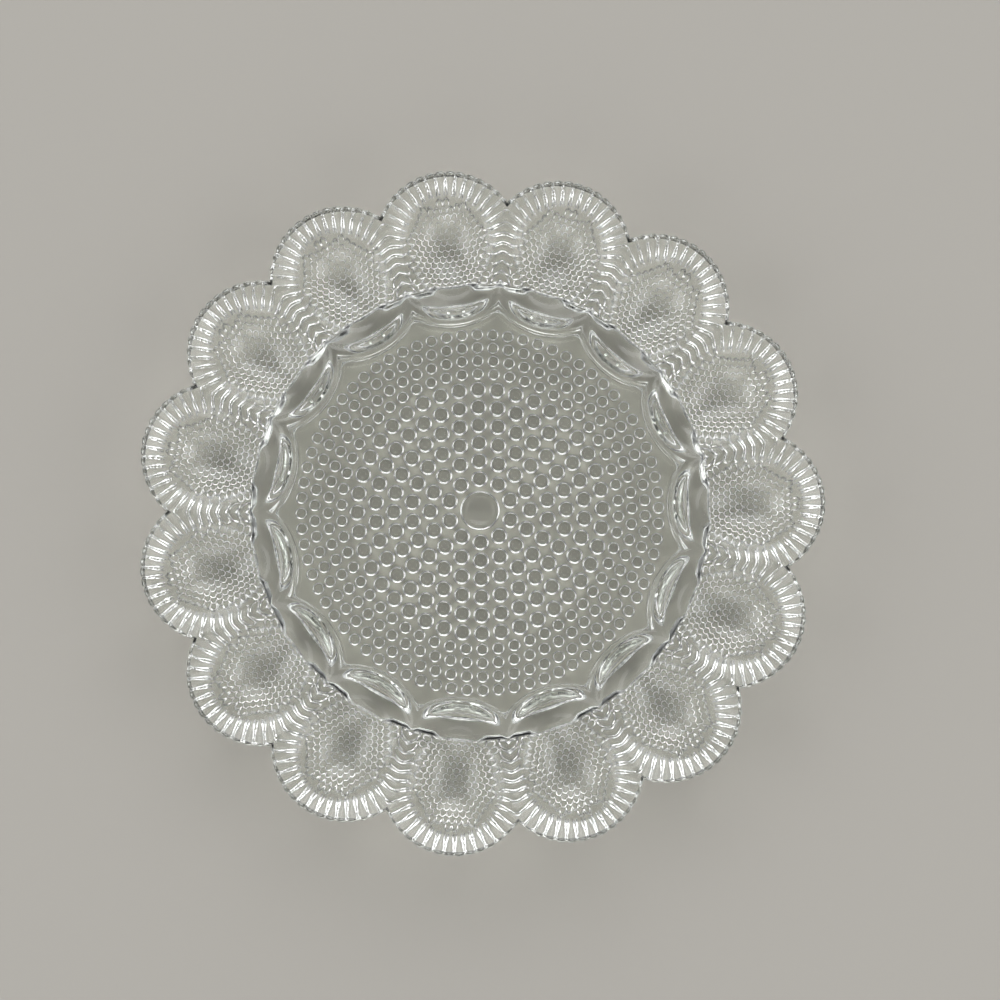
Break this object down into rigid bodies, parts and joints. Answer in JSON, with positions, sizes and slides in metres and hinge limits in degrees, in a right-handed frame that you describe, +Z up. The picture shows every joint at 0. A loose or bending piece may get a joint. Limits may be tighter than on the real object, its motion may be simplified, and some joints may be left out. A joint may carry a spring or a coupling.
{
  "type": "egg platter",
  "caption": "Round clear pressed-glass platter with egg-shaped wells in a scalloped, fluted border around a shallow dish with a hobnail floor, standing on a foot ring.",
  "frame": {"origin": "on the plate's axis, in the plane that the foot ring rests on", "axes": "+Z up out of the dish; +X through the middle of one egg well, from the axis to a scallop tip"},
  "size_m": [0.2777, 0.2788, 0.0252],
  "materials": {
    "pressed_glass": "clear, fire-polished"
  },
  "bodies": {
    "root": {"centre_floor": "pressed_glass", "centre_hobnail": "pressed_glass", "foot_ring": "pressed_glass", "gallery_wall": "pressed_glass", "egg_cup_01": "pressed_glass", "egg_cup_02": "pressed_glass", "egg_cup_03": "pressed_glass", "egg_cup_04": "pressed_glass", "egg_cup_05": "pressed_glass", "egg_cup_06": "pressed_glass", "egg_cup_07": "pressed_glass", "egg_cup_08": "pressed_glass", "egg_cup_09": "pressed_glass", "egg_cup_10": "pressed_glass", "egg_cup_11": "pressed_glass", "egg_cup_12": "pressed_glass", "egg_cup_13": "pressed_glass", "egg_cup_14": "pressed_glass", "egg_cup_15": "pressed_glass", "fluted_rim_01": "pressed_glass", "fluted_rim_02": "pressed_glass", "fluted_rim_03": "pressed_glass", "fluted_rim_04": "pressed_glass", "fluted_rim_05": "pressed_glass", "fluted_rim_06": "pressed_glass", "fluted_rim_07": "pressed_glass", "fluted_rim_08": "pressed_glass", "fluted_rim_09": "pressed_glass", "fluted_rim_10": "pressed_glass", "fluted_rim_11": "pressed_glass", "fluted_rim_12": "pressed_glass", "fluted_rim_13": "pressed_glass", "fluted_rim_14": "pressed_glass", "fluted_rim_15": "pressed_glass"}
  },
  "joints": []
}
